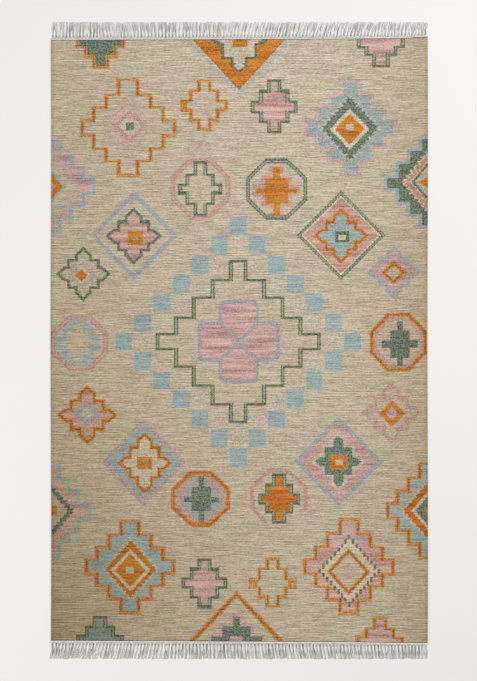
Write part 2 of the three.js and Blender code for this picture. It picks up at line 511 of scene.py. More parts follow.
# %% Lozenges at the far end
nested(lozenge, (-426, 425), [
    ((178, 185), LILAC, (GROUND, 0.3)),
    ((171, 178), BLUE, (LILAC, 0.4)),
    ((152, 158), GROUND),
])
nested(star, (-428, 423), [
    ((115, 116, 36), MOSS, (GREEN, 0.4)),
    ((115, 116, 36, 12), PINK, (SALMON, 0.4)),
])
paint(block(-422, 414, 31, 26), ORANGE, (GOLD, 0.4))
paint(block(-420, 415, 10, 8), SAGE)

outlined(partial(lozenge, 412, 425, 179, 180), MOSS, CREAM, 18)
paint(lozenge(412, 425, 152, 153), SALMON, (PINK, 0.3))
lobed = partial(star, 412, 423, 114, 116, 36)
outlined(lobed, RUST, BLUE, 16)
flecked(lobed() & beyond(500), GOLD, 0.5)
paint(lobed(16), BLUE, (SAGE, 0.15))
nested(block, (416, 418), [((28, 22), MOSS), ((15, 11), CREAM)])

# %% Lozenges at the near end
nested(lozenge, (-387, -495), [
    ((172, 180), BLUSH, (LILAC, 0.4)),
    ((148, 156), BLUE, (LILAC, 0.12)),
])
outlined(partial(star, -383, -497, 114, 127, 36), RUST, CREAM, 16, (PALE, 0.6))
nested(block, (-383, -498), [((31, 26), ORANGE, (RUST, 0.4)), ((20, 16), GOLD)])
flecked(block(-383, -498, 9, 8), SAGE, 0.7)

nested(lozenge, (401, -490), [
    ((180, 184), BLUE, (LILAC, 0.5)),
    ((163, 167), LILAC, (BLUSH, 0.4)),
    ((153, 157), PINK, (ROSE, 0.25)),
])
nested(star, (401, -489), [((111, 121, 36), PALE), ((94, 104, 20), GREEN)])
nested(block, (403, -491), [
    ((37, 31), GOLD, (GREEN, 0.3)),
    ((31, 26), ORANGE, (UMBER, 0.2)),
    ((15, 11), PALE),
])
print_painted("the lozenges")

# %% [markdown]
# Four stars stand alone near the sides.

# %% Stars near the sides
nested(star, (-631, 269), [
    ((112, 112, 35), MOSS, (GREEN, 0.3)),
    ((112, 112, 35, 12), PALE, (MOSS, 0.12)),
])
flecked(lozenge(-635, 265, 54, 56), LILAC, 0.7)
paint(lozenge(-637, 264, 36, 38), PALE)
paint(lozenge(-639, 263, 27, 26), ORANGE)

lobed = partial(star, 626, 275, 109, 107, 34)
paint(lobed(), LILAC, (BLUE, 0.3))
flecked(lobed(11), PINK, 0.5)
paint(lozenge(626, 274, 74, 70), PINK)
outlined(partial(lozenge, 626, 274, 54, 50), RUST, PALE, 25, (SAGE, 0.3))

outlined(partial(star, -615, -303, 124, 123, 37), RUST, SALMON, 17, (BLUSH, 0.3))
flecked(lozenge(-619, -297, 70, 60), LILAC, 0.6)
nested(lozenge, (-619, -297), [((54, 44), LILAC, (BLUE, 0.3)), ((31, 24), PALE)])

lobed = partial(star, 616, -291, 124, 125, 37)
paint(lobed(), BLUSH, (ROSE, 0.35))
paint(lobed(16), GROUND, (BLUSH, 0.25))
paint(lozenge(619, -295, 53, 54), ORANGE)
flecked(lozenge(619, -295, 53, 54) & beyond(-290), GOLD, 0.6)
paint(lozenge(619, -295, 27, 27), PINK, (BLUSH, 0.5))
print_painted("the stars")

# %% [markdown]
# The last two figures are large lozenges that the woven ends cut in half, with a small stepped
# figure inside them.

# %% Half lozenges at the ends
FAR_HALF = (-1, CLOTH_LENGTH / 2)
nested(lozenge, FAR_HALF, [
    ((217, 232), BLUE, (GROUND, 0.5)),
    ((195, 211), PALE),
    ((189, 206), UMBER),
    ((182, 199), ORANGE, (UMBER, 0.25)),
])
golden = beyond(1190) | (beyond(1097) & ~beyond(1133))
flecked(lozenge(*FAR_HALF, 182, 199) & golden, GOLD, 0.5)
levels = [(116, 10), (104, 18), (90, 26), (73, 81), (35, 110)]
for inset, yarn in ((0, MOSS), (12, PALE)):
    paint(steps(*FAR_HALF, levels, inset, inset), yarn)
    paint(lozenge(FAR_HALF[0], FAR_HALF[1] - 108, 37, 28, inset), yarn)
heart = (FAR_HALF[0] + 3, FAR_HALF[1])
nested(block, heart, [((31, 33), ORANGE, (GOLD, 0.3)), ((14, 10), MOSS)])

NEAR_HALF = (-11, -CLOTH_LENGTH / 2)
outlined(partial(lozenge, *NEAR_HALF, 196, 206), RUST, GROUND, 30)
paint(steps(*NEAR_HALF, [(27, 116), (70, 76), (116, 30)]), BLUSH, (PINK, 0.4))
paint(steps(*NEAR_HALF, [(14, 103), (57, 61), (104, 20)]), GREEN, (MOSS, 0.25))
paint(block(NEAR_HALF[0] - 1, NEAR_HALF[1], 25, 18), PINK)
print({name: int((chart == yarn).sum()) for yarn, name in enumerate(YARNS)})

# %% [markdown]
# Now the cloth itself. It could be a plain slab with the chart as its colour, but then every
# slanting line would be smooth. On the loom each course of weft ends where its yarn changes, and
# the next course ends a little beside it, so that the two lock around neighbouring warps. The
# mesh is built the same way: course by course, each run of one yarn has faces of its own.
# Neighbouring courses share a line of points, which holds the ends of the runs on both sides of
# it, so the surface has no cracks. Each course also has a few fixed ends, where the height of the
# cloth or the slope of a woven end changes. A row of the selvedge's table says how far inward it
# lies, and the heights there of the underside and the top.

# %% Where the runs of one yarn end
TOOTH = 0.9
SHARE_GRAIN = 100
SELVEDGE = [
    (0.0, 1.4, 3.0), (0.5, 0.6, 3.75), (1.43, 0.0, 4.4),
    (4.95, 0.0, 5.0), (8.0, 0.0, 4.5), (11.0, 0.0, 4.0),
]
selvedge_in, selvedge_under, selvedge_over = np.array(SELVEDGE).T
inner_stations = np.append(STATIONS[2:-1:2], STATIONS[-2])
fixed_x = np.concatenate([selvedge_in - HALF_WIDTH, inner_stations, HALF_WIDTH - selvedge_in[::-1]])

grains = np.round(SHARE_GRAIN * second_share).astype(int)
look = (chart * len(YARNS) + second) * SHARE_GRAIN + grains
change_course, change_warp = np.nonzero(np.diff(look, axis=1))
lock = TOOTH * (2 * (change_course % 2) - 1)
change_x = CLOTH_WIDTH * ((change_warp + 1) / WARPS - 0.5) + lock
inner = abs(change_x) < HALF_WIDTH - selvedge_in[-1]
change_course, change_x = change_course[inner], change_x[inner]

# %% One number for every point
LINE_ROOM = 10 * CLOTH_WIDTH
GRAIN = 100


def key(line, x):
    """A whole number that sorts points by their line across the rug and then by x."""
    return np.round(GRAIN * (line * LINE_ROOM + x + HALF_WIDTH)).astype(np.int64)


fixed_course = np.repeat(np.arange(COURSES), len(fixed_x))
outer_course = np.repeat([0, COURSES - 1], len(STATIONS))
ends = np.unique(key(
    np.concatenate([change_course, fixed_course, outer_course]),
    np.concatenate([change_x, np.tile(fixed_x, COURSES), np.tile(STATIONS, 2)]),
))
one_line = key(1, 0) - key(0, 0)
points = np.unique(np.concatenate([ends, ends + one_line]))
point_line, point_across = np.divmod(points, one_line)
point_x = point_across / GRAIN - HALF_WIDTH
print("run ends", len(ends), "points a side", len(points))

# %% [markdown]
# A run between two ends is cut into triangles in one go for all runs: every stretch of its lower
# line is joined to the run's upper left end, and every stretch of its upper line to its lower
# right end.


# %% The triangles of one side
def runs_of(course):
    """For each stretch between two points: the ends of the run that it bounds in that course."""
    middle = (points[:-1] + points[1:]) // 2 + (course - point_line[:-1]) * one_line
    right = np.searchsorted(ends, middle)
    return ends[right - 1], ends[np.minimum(right, len(ends) - 1)]


stretch = np.arange(len(points) - 1)
same_line = point_line[:-1] == point_line[1:]
lower = same_line & (point_line[:-1] < COURSES)
upper = same_line & (point_line[:-1] > 0)

left_end, _ = runs_of(point_line[:-1])
upper_left = np.searchsorted(points, left_end + one_line)
_, right_end = runs_of(point_line[:-1] - 1)
lower_right = np.searchsorted(points, right_end)

triangles = np.concatenate([
    np.stack([stretch, stretch + 1, upper_left], -1)[lower],
    np.stack([stretch, lower_right, stretch + 1], -1)[upper],
])
triangle_course = np.concatenate([point_line[:-1][lower], point_line[:-1][upper] - 1])
stretch_x = (point_x[:-1] + point_x[1:]) / 2
triangle_x = np.concatenate([stretch_x[lower], stretch_x[upper]])
lock = TOOTH * (2 * (triangle_course % 2) - 1)
triangle_warp = np.floor(((triangle_x - lock) / CLOTH_WIDTH + 0.5) * WARPS).astype(int)
triangle_square = triangle_course, np.clip(triangle_warp, 0, WARPS - 1)
print("triangles a side", len(triangles))

# %% [markdown]
# The points get their heights from the section of the cloth: flat in the middle, with a rounded
# bead along each side where the weft turns round a bundle of edge warps. The underside shows the
# same figures, as on every rug of this kind, and a narrow rim joins both sides.


# %% The surface of the cloth
END_ROUNDING = 0.7
RIPPLE = 0.12
RIPPLE_ACROSS = 61
RIPPLE_ALONG = 83
RIPPLE_DRIFT = 190


def cloth_surface(x, along, side):
    """Where a point lies. Its y runs straight from the near end line to the far one, its x swings
    with a sine along the rug, and its z is the section's height, rounded off at the ends, with
    a slight ripple on top that is a sine across times a sine along."""
    y = end_line(x, -1) + (end_line(x, 1) - end_line(x, -1)) * along
    swing = SIDE_WAVE * np.sin(along * SIDE_WAVES * np.pi) * abs(x) / HALF_WIDTH
    inward = HALF_WIDTH - abs(x)
    rounding = END_ROUNDING * ((along == 0) | (along == 1))
    if side < 0:
        return in_metres(x + swing, y, np.interp(inward, selvedge_in, selvedge_under) + rounding)
    ripple = np.sin(x / RIPPLE_ACROSS) * np.sin(y / RIPPLE_ALONG + np.sin(x / RIPPLE_DRIFT))
    height = np.interp(inward, selvedge_in, selvedge_over) - rounding + RIPPLE * ripple
    return in_metres(x + swing, y, height)


def rim_of(edge):
    """The quads between both sides along an edge, whose points are in order round the cloth."""
    count = len(points)
    return np.stack([edge[:-1], edge[:-1] + count, edge[1:] + count, edge[1:]], -1)


along = point_line / COURSES
top = cloth_surface(point_x, along, 1)
underside = cloth_surface(point_x, along, -1)
right_side = np.flatnonzero(np.append(point_line[1:] != point_line[:-1], True))
left_side = np.flatnonzero(np.append(True, point_line[1:] != point_line[:-1]))
near_end = np.flatnonzero(point_line == 0)
far_end = np.flatnonzero(point_line == COURSES)
edges = (near_end, right_side, far_end[::-1], left_side[::-1])
rim = np.concatenate([rim_of(edge) for edge in edges])
rim_triangles = np.concatenate([rim[:, [0, 1, 2]], rim[:, [0, 2, 3]]])
print("rim quads", len(rim))


# %% A mesh from arrays
def make_piece(name, positions, faces):
    """A new smooth object at the origin, from points in metres and lists of their numbers."""
    mesh = bpy.data.meshes.new(name)
    mesh.from_pydata(positions, [], faces)
    mesh.polygons.foreach_set("use_smooth", np.full(len(mesh.polygons), True))
    mesh.update()
    piece = bpy.data.objects.new(name, mesh)
    bpy.context.scene.collection.objects.link(piece)
    return piece


def set_uv(piece, name, across, along):
    """A UV map from two numbers for each point."""
    corners = np.empty(len(piece.data.loops), int)
    piece.data.loops.foreach_get("vertex_index", corners)
    layer = piece.data.uv_layers.new(name=name)
    layer.data.foreach_set("uv", np.stack([across, along], -1)[corners].astype(np.float32).ravel())


cloth_faces = np.concatenate([triangles, triangles[:, ::-1] + len(points), rim_triangles])
cloth = make_piece("woven_cloth", np.concatenate([top, underside]), cloth_faces)
set_uv(cloth, "woven", np.tile(point_x / CLOTH_WIDTH + 0.5, 2), np.tile(along, 2))

YARN_MIDDLE = 0.5
for name, paper in (
    ("yarn", (chart + YARN_MIDDLE) / len(YARNS)),
    ("second_yarn", (second + YARN_MIDDLE) / len(YARNS)),
    ("second_share", second_share),
):
    one_side = paper[triangle_square]
    values = np.concatenate([one_side, one_side, np.full(len(rim_triangles), paper[0, 0])])
    layer = cloth.data.attributes.new(name, "FLOAT", "FACE")
    layer.data.foreach_set("value", values.astype(np.float32))
print("cloth triangles", len(cloth.data.polygons))

# %% [markdown]
# The wool is handspun and dyed in small lots, so no yarn is one flat colour. Each has a light
# and a dark, and every pick of weft wanders between them along its length, in long streaks and
# short flecks, which draws the fine level lines that show from a distance. A material could hold
# a picture of that, but a noise that is read one pick at a time gives it at any scale, and from
# the cloth's own threads: the UV map counts warps and courses. A noise is smooth, so the place
# where it is read jumps by a few units from one thread to the next, and each thread gets a shade
# of its own.


# %% Helpers for materials
def linear(red, green, blue):
    """A colour as seen on a screen, from 0 to 255, as the linear one that a shader takes."""
    c = np.array([red, green, blue]) / 255
    return (*np.where(c <= 0.04045, c / 12.92, ((c + 0.055) / 1.055) ** 2.4), 1.0)


class Shader:
    """A material under construction: each method adds one node and returns its output."""

    def __init__(self, name):
        self.material = bpy.data.materials.new(name)
        self.material.use_nodes = True
        self.tree = self.material.node_tree
        self.surface = self.tree.nodes["Principled BSDF"]

    def join(self, value, socket):
        """Links an output to a socket, or writes a plain value in it."""
        if isinstance(value, bpy.types.NodeSocket):
            self.tree.links.new(value, socket)
        else:
            socket.default_value = value

    def add(self, kind, inputs=(), output=0, **settings):
        """A node with its settings, and its inputs by place."""
        node = self.tree.nodes.new(kind)
        for name, value in settings.items():
            setattr(node, name, value)
        for place, value in dict(inputs).items():
            self.join(value, node.inputs[place])
        return node.outputs[output]

    def sum(self, kind, *values):
        """One step of arithmetic on numbers, such as ADD or MULTIPLY."""
        return self.add("ShaderNodeMath", dict(enumerate(values)), operation=kind)

    def noise(self, x, y, detail=2.0):
        """Noise from 0 to 1 that is read at the point x, y."""
        place = self.add("ShaderNodeCombineXYZ", {0: x, 1: y})
        return self.add(
            "ShaderNodeTexNoise", {"Vector": place, "Scale": 1.0, "Detail": detail},
            noise_dimensions="2D",
        )

    def spread(self, value, start, stop, low=0.0, high=1.0):
        """A value brought from one range to another, and kept in it."""
        return self.add("ShaderNodeMapRange", {0: value, 1: start, 2: stop, 3: low, 4: high})

    def mix(self, share, first, second, blend="MIX"):
        """Two colours mixed."""
        return self.add(
            "ShaderNodeMix", {0: share, 6: first, 7: second}, 2, data_type="RGBA", blend_type=blend
        )

    def steps_of(self, value, colours):
        """One colour of several, without blending: the value runs from 0 to 1 over them."""
        node = self.tree.nodes.new("ShaderNodeValToRGB")
        self.join(value, node.inputs[0])
        ramp = node.color_ramp
        ramp.interpolation = "CONSTANT"
        while len(ramp.elements) < len(colours):
            ramp.elements.new(1.0)
        for place, colour in enumerate(colours):
            ramp.elements[place].position = place / len(colours)
            ramp.elements[place].color = colour
        return node.outputs[0]


# %% [markdown]
# The yarns differ in how their light and dark are laid. In a yarn of several dye lots the shade
# changes in level bands, a few courses high. In a loosely spun one it changes in small beads,
# from one stitch to the next. So each yarn has its light, its dark, its share of bands and its
# share of beads, and streaks make up the rest.

# %% The colours of the yarns
YARN_COLOURS = {
    "ground": ((239, 225, 204), (142, 127, 104), 0.06, 0.06),
    "pale": ((241, 228, 209), (140, 127, 105), 0.06, 0.25),
    "cream": ((247, 238, 215), (158, 139, 109), 0.06, 0.30),
    "orange": ((243, 166, 70), (143, 50, 2), 0.45, 0.25),
    "rust": ((248, 188, 116), (128, 68, 24), 0.10, 0.35),
    "umber": ((226, 142, 66), (108, 44, 8), 0.10, 0.35),
    "gold": ((236, 172, 74), (146, 80, 16), 0.30, 0.40),
    "green": ((158, 177, 158), (26, 44, 36), 0.15, 0.45),
    "moss": ((152, 158, 134), (32, 42, 30), 0.05, 0.45),
    "sage": ((194, 202, 180), (90, 102, 86), 0.05, 0.40),
    "blue": ((201, 213, 210), (97, 126, 138), 0.15, 0.20),
    "lilac": ((206, 196, 192), (122, 122, 134), 0.10, 0.35),
    "pink": ((247, 213, 204), (139, 89, 95), 0.50, 0.22),
    "blush": ((232, 206, 190), (146, 112, 112), 0.10, 0.35),
    "rose": ((226, 176, 166), (148, 94, 94), 0.15, 0.30),
    "salmon": ((244, 202, 178), (140, 86, 78), 0.50, 0.25),
}

# %% Where a point lies among the threads
wool = Shader("wool_flatweave")
woven = wool.add("ShaderNodeUVMap", uv_map="woven")
woven = wool.add("ShaderNodeSeparateXYZ", {0: woven}, 0).node
across, along_rug = woven.outputs[0], woven.outputs[1]
warp = wool.sum("MULTIPLY", across, WARPS)
pick = wool.sum("MULTIPLY", along_rug, 2 * COURSES)
course_number = wool.sum("FLOOR", wool.sum("MULTIPLY", along_rug, COURSES))

# %% [markdown]
# Streaks are long, and a new one starts with each course. Ribs look alike, but a course that is
# dark lies between two that are light, as where two balls of wool take turns. Flecks are short
# and change with each pick, of which a course has two. Most of a noise lies near its middle, so
# each is spread out over its range before it is added to the shade with its share.

# %% The streaks, ribs and flecks
THREAD_JUMP = 5.37
STREAK_PACE = 0.035
STREAK_SHARE = 0.28
FLECK_PACE = 0.25
FLECK_SHARE = 0.39
RIB_ROWS = 40
RIB_SHARE = 0.33
RIB_RANGE = (0.34, 0.66)
NOISE_RANGE = (0.35, 0.65)

pick_row = wool.sum("MULTIPLY", wool.sum("FLOOR", pick), THREAD_JUMP)
course_row = wool.sum("MULTIPLY", course_number, THREAD_JUMP)
streak_place = wool.sum("MULTIPLY", warp, STREAK_PACE)
streak = wool.noise(streak_place, course_row, 1.0)
rib = wool.noise(streak_place, wool.sum("MULTIPLY", along_rug, RIB_ROWS), 1.0)
odd_course = wool.sum("MODULO", course_number, 2.0)
rib = wool.add("ShaderNodeMix", {0: odd_course, 2: rib, 3: wool.sum("SUBTRACT", 1.0, rib)})
fleck = wool.noise(wool.sum("MULTIPLY", warp, FLECK_PACE), pick_row, 2.0)

shade = 0.0
for layer, noise_range, share in (
    (streak, NOISE_RANGE, STREAK_SHARE),
    (fleck, NOISE_RANGE, FLECK_SHARE),
    (rib, RIB_RANGE, RIB_SHARE),
):
    shade = wool.sum("ADD", shade, wool.spread(layer, *noise_range, 0.0, share))
print("nodes of the shade", len(wool.tree.nodes))

# %% The bands and beads
BANDS_ACROSS = 6
BANDS_ALONG = 130
BAND_RANGE = (0.3, 0.7)
BEAD_PACE = 0.36
BEAD_RANGE = (0.38, 0.62)

band = wool.noise(
    wool.sum("MULTIPLY", across, BANDS_ACROSS), wool.sum("MULTIPLY", along_rug, BANDS_ALONG), 2.0
)
band = wool.spread(band, *BAND_RANGE)
bead = wool.noise(wool.sum("MULTIPLY", warp, BEAD_PACE), wool.sum("MULTIPLY", pick, BEAD_PACE), 1.0)
bead = wool.spread(bead, *BEAD_RANGE)


# %% The colour of one yarn
def dyed(attribute):
    """The colour of the yarn that an attribute of the cloth names: its dark and its light, mixed
    by the streaks, by the yarn's share of bands and by its share of beads."""
    yarn = wool.add("ShaderNodeAttribute", attribute_name=attribute, output=2)
    light = wool.steps_of(yarn, [linear(*YARN_COLOURS[name][0]) for name in YARNS])
    dark = wool.steps_of(yarn, [linear(*YARN_COLOURS[name][1]) for name in YARNS])
    shares = wool.steps_of(yarn, [(*YARN_COLOURS[name][2:], 0.0, 1.0) for name in YARNS])
    shares = wool.add("ShaderNodeSeparateColor", {0: shares}).node
    tone = wool.add("ShaderNodeMix", {0: shares.outputs[0], 2: shade, 3: band})
    tone = wool.add("ShaderNodeMix", {0: shares.outputs[1], 2: tone, 3: bead})
    return wool.mix(tone, dark, light)


# %% [markdown]
# Where two yarns are carried together, the share of the second one is raised here and lowered
# there by a noise of its own, one pick at a time, so that it lies on top in short stretches.
# Last, the whole cloth gets a faint tint that drifts from a cool white to a warm one.

# %% Two yarns together, and the tint
BLEND_PACE = 0.15
BLEND_SPREAD = 0.5
TINTS_ACROSS = 11
TINTS_ALONG = 19
COOL_WHITE = linear(251, 254, 250)
WARM_WHITE = linear(255, 251, 252)

together = wool.noise(wool.sum("MULTIPLY", warp, BLEND_PACE), pick_row, 1.0)
together = wool.spread(together, *NOISE_RANGE, -BLEND_SPREAD / 2, BLEND_SPREAD / 2)
share = wool.add("ShaderNodeAttribute", attribute_name="second_share", output=2)
share = wool.spread(wool.sum("ADD", share, together), 0.0, 1.0)
colour = wool.mix(share, dyed("yarn"), dyed("second_yarn"))

tint = wool.noise(
    wool.sum("MULTIPLY", across, TINTS_ACROSS), wool.sum("MULTIPLY", along_rug, TINTS_ALONG), 1.0
)
tint = wool.mix(wool.spread(tint, *NOISE_RANGE), COOL_WHITE, WARM_WHITE)
colour = wool.mix(1.0, colour, tint, "MULTIPLY")
print("wool nodes so far", len(wool.tree.nodes))

# %% [markdown]
# The light falls unevenly on the cloth, so it is not one brightness all over, and that is painted
# shade in its colour. It is a little darker towards its left side, its right edge and its near end,
# and most of all in the corner between them, and the darker places are also warmer. Each of the
# three colours is therefore multiplied by its own number to the power of one amount, which grows
# towards those places.

# %% Painted shade over the whole cloth
LEFT_PAINTED_SHADE = 0.18
RIGHT_PAINTED_SHADE = 0.21
CORNER_PAINTED_SHADE = 0.46
NEAR_END_PAINTED_SHADE = 0.13
PAINTED_SHADE_REACH = 3.0
RIGHT_REACH = 8.0
PAINTED_SHADE_COLOUR = (0.37, 0.33, 0.22)


def grown(value, power):
    """A share to a power, which stays small until the share nears one."""
    return wool.sum("POWER", value, power)


# painted shade: how much darker the cloth is drawn towards each side, the near end and the corner
to_left = grown(wool.sum("SUBTRACT", 1.0, across), PAINTED_SHADE_REACH)
to_right = grown(across, RIGHT_REACH)
to_near = wool.sum("SUBTRACT", 1.0, along_rug)
to_corner = wool.sum("MULTIPLY", to_left, grown(to_near, PAINTED_SHADE_REACH))
painted_shade = 0.0
for nearness, amount in (
    (to_left, LEFT_PAINTED_SHADE), (to_right, RIGHT_PAINTED_SHADE), (to_near, NEAR_END_PAINTED_SHADE), (to_corner, CORNER_PAINTED_SHADE),
):
    painted_shade = wool.sum("ADD", painted_shade, wool.sum("MULTIPLY", nearness, amount))
painted_shade_parts = {place: wool.sum("POWER", part, painted_shade) for place, part in enumerate(PAINTED_SHADE_COLOUR)}
colour = wool.mix(1.0, colour, wool.add("ShaderNodeCombineColor", painted_shade_parts), "MULTIPLY")

# %% [markdown]
# The weft turns round the edge warps at both sides, so that line is a little darker. At both ends
# the weft is beaten tight, and a thin line along each end is darkened too, which is painted shadow
# of the narrow gap between the cloth and the heading.

# %% The edges
DARK_SIDE = 11
SIDE_FADE = 0.8
SIDE_SHADE = linear(238, 237, 236)
# painted shadow along both woven ends, of the gap between the cloth and the heading
DARK_END = 3.0
END_FADE = 0.6
END_SHADE = linear(196, 192, 184)

for place, line, fade, shadow in (
    (across, DARK_SIDE / CLOTH_WIDTH, SIDE_FADE, SIDE_SHADE),
    (along_rug, DARK_END / CLOTH_LENGTH, END_FADE, END_SHADE),
):
    from_middle = wool.sum("ABSOLUTE", wool.sum("SUBTRACT", place, 0.5))
    near_edge = wool.spread(from_middle, 0.5 - line, 0.5 - fade * line)
    colour = wool.mix(near_edge, colour, wool.mix(1.0, colour, shadow, "MULTIPLY"))
wool.join(colour, wool.surface.inputs["Base Color"])
wool.surface.inputs["Roughness"].default_value = 0.95
wool.surface.inputs["Specular IOR Level"].default_value = 0.2

# %% [markdown]
# Close up, each pick of weft rides over one warp and under the next, so the cloth has ribs along
# it and small rounded stitches across them. They stand out by a few tenths of a millimetre, and
# the mesh has points only where a run ends, so they are left to a bump.

# %% The stitches of the wool
STITCH_HEIGHT = 0.0006
STITCH_STRENGTH = 0.35
STREAK_RELIEF = 0.8

over_warp = wool.sum("ABSOLUTE", wool.sum("SINE", wool.sum("MULTIPLY", warp, np.pi)))
over_pick = wool.sum("ABSOLUTE", wool.sum("SINE", wool.sum("MULTIPLY", pick, np.pi)))
stitch = wool.sum("MULTIPLY", over_warp, over_pick)
relief = wool.sum("ADD", stitch, wool.sum("MULTIPLY", streak, STREAK_RELIEF))
bump = wool.add(
    "ShaderNodeBump", {"Strength": STITCH_STRENGTH, "Distance": STITCH_HEIGHT, "Height": relief}
)
wool.join(bump, wool.surface.inputs["Normal"])
cloth.data.materials.append(wool.material)
print("wool nodes", len(wool.tree.nodes))

# %% [markdown]
# The fringe is what is left of the warps. They come out of the cloth in bundles. Each bundle is
# knotted close to the cloth and then opens into loose cords that lean and wander over the floor.
# Hair or a cloth strip would be quicker to make, but neither has the round cords and the dark
# gaps that show in the photograph. So every cord is a thin tube along its own path, and all
# paths of one end are worked out together as one array.

# %% Sizes of the fringe
BUNDLES = 110
FRINGE_LENGTH = 72
LENGTH_SPREAD = 7
SWAY = 1.3
LEAN_POWER = 1.4
PARTING = 0.3
HEADING_DEPTH = 5
ROOT_DEPTH = 3
FAR_LEAN = [(0.0, 3), (0.18, -5), (0.4, 4), (0.58, 17), (0.8, 20), (0.93, 8), (1.0, 1)]
NEAR_LEAN = [(0.0, -6), (0.1, -18), (0.22, -14), (0.42, 2), (0.6, 10), (0.85, 8), (1.0, 0)]
BUNDLE_ALONG = [0.0, 0.08, 0.2, 0.58, 1.0]
BUNDLE_WIDTH = [7.0, 9.2, 5.6, 10.0, 9.4]
BUNDLE_HEIGHT = [3.4, 5.0, 3.6, 2.8, 2.4]
print("one bundle every", round(CLOTH_WIDTH / BUNDLES, 2), "mm")


def unevenness(index, seed):
    """A number from -1 to 1 that looks random from one index to the next: a sine times a cosine,
    whose steps of 13 and 4.1 share no common multiple."""
    return np.sin(13 * index + 78 * seed) * np.cos(4.1 * index + seed)


def bundle_roots(end):
    """Where the bundles leave the heading: evenly spaced, a little inside its outer edge."""
    x = (np.arange(BUNDLES) + 0.5) * CLOTH_WIDTH / BUNDLES - HALF_WIDTH
    return x, end_line(x, end) + end * (PARTING + HEADING_DEPTH - ROOT_DEPTH)


# %% [markdown]
# Inside a bundle the cords lie side by side as far as the knot, and from there on each goes its own
# way. What differs from cord to cord is drawn from one seeded source of random numbers, so that the
# fringe is the same each time. A cord that lies on top is thicker than one that lies underneath. It
# is also lighter, because the lower cords get painted shade, which fades towards their tips.

# %% Sizes of the loose cords
CORDS = 7
CORD_STEPS = 11
STEP_POWER = 0.85
CORD_RADIUS = 0.95
TRIM_SHARE = 0.5
PLACE_SPREAD = 0.2
LOOSE_SPREAD = (0.5, 1.5)
OPENING_START = 0.12
OPENING_REACH = 0.5
WAVES = (0.5, 1.4)
WANDER = 1.6
SHORTEST_CORD = 0.955
UNDER_THICKNESS = 0.8
OVER_THICKNESS = 0.45
TAPER = 0.2
# painted shade on the cords: lower cords, the root and the near fringe are drawn darker
LAYER_POWER = 1.4
ROOT_PAINTED_SHADOW = 0.65
ROOT_SHADOW_REACH = 0.22
TIP_LIGHT = 0.75
NEAR_FRINGE_PAINTED_SHADE = 0.1
rng = np.random.default_rng(41)


# %% The paths of the loose cords
def cord_paths(end):
    """Middles of all cords of one end, as an array of bundle, cord, step and place.
    Along a cord, x is the bundle's lean times the share to a power, plus the cord's place in the
    bundle's width, plus a slow wave, and z is its layer in the bundle's height. The radius and the
    tone of every step come with them: upper cords are thicker, and the tone is painted shade, darker
    on lower cords, darkest near the root and a little darker all over the near fringe."""
    index = np.arange(BUNDLES)
    root_x, root_y = bundle_roots(end)
    lean = eased(FAR_LEAN if end > 0 else NEAR_LEAN, root_x / CLOTH_WIDTH + 0.5)
    shift = lean + SWAY * unevenness(index, end)
    trim = TRIM_SHARE * LENGTH_SPREAD * abs(unevenness(index, 2 * end))
    length = CLOTH_LENGTH / 2 + FRINGE_LENGTH - trim - abs(root_y)

    each_cord = (BUNDLES, CORDS)
    share = np.linspace(0, 1, CORD_STEPS) ** STEP_POWER
    place = np.linspace(-1, 1, CORDS) + rng.uniform(-PLACE_SPREAD, PLACE_SPREAD, each_cord)
    loose = rng.permuted(place, axis=1) * rng.uniform(*LOOSE_SPREAD, each_cord)
    opening = np.clip((share - OPENING_START) / OPENING_REACH, 0, 1)
    width = np.interp(share, BUNDLE_ALONG, BUNDLE_WIDTH) / 2 - CORD_RADIUS
    sideways = (place[..., None] * (1 - opening) + loose[..., None] * opening) * width
    waves = rng.uniform(*WAVES, (*each_cord, 1))
    phase = rng.uniform(0, 2 * np.pi, (*each_cord, 1))
    wander = WANDER * opening * np.sin(2 * np.pi * waves * share + phase)
    layer = rng.uniform(0, 1, (*each_cord, 1))
    height = np.interp(share, BUNDLE_ALONG, BUNDLE_HEIGHT)

    reach = length[:, None, None] * rng.uniform(SHORTEST_CORD, 1.0, (*each_cord, 1))
    x = root_x[:, None, None] + shift[:, None, None] * share**LEAN_POWER + sideways + wander
    y = root_y[:, None, None] + end * reach * share
    z = CORD_RADIUS + layer * (height - 2 * CORD_RADIUS)
    # painted shadow near the root, painted shade on lower cords and on the near fringe
    root_shadow = ROOT_PAINTED_SHADOW * np.exp(-((share / ROOT_SHADOW_REACH) ** 2))
    tone = (layer**LAYER_POWER + (1 - layer) * TIP_LIGHT * share**2) * (1 - root_shadow)
    tone = tone - NEAR_FRINGE_PAINTED_SHADE * (end < 0)
    thickness = CORD_RADIUS * (UNDER_THICKNESS + OVER_THICKNESS * layer) * (1 - TAPER * share)
    shape = (-1, CORD_STEPS)
    paths = np.stack([x, y, z], -1).reshape(*shape, 3)
    return paths, thickness.reshape(shape), tone.reshape(shape)


# %% Tubes along paths
TUBE_SIDES = 5
UPWARDS = (0, 0, 1)
LENGTHWISE = (0, 1, 0)


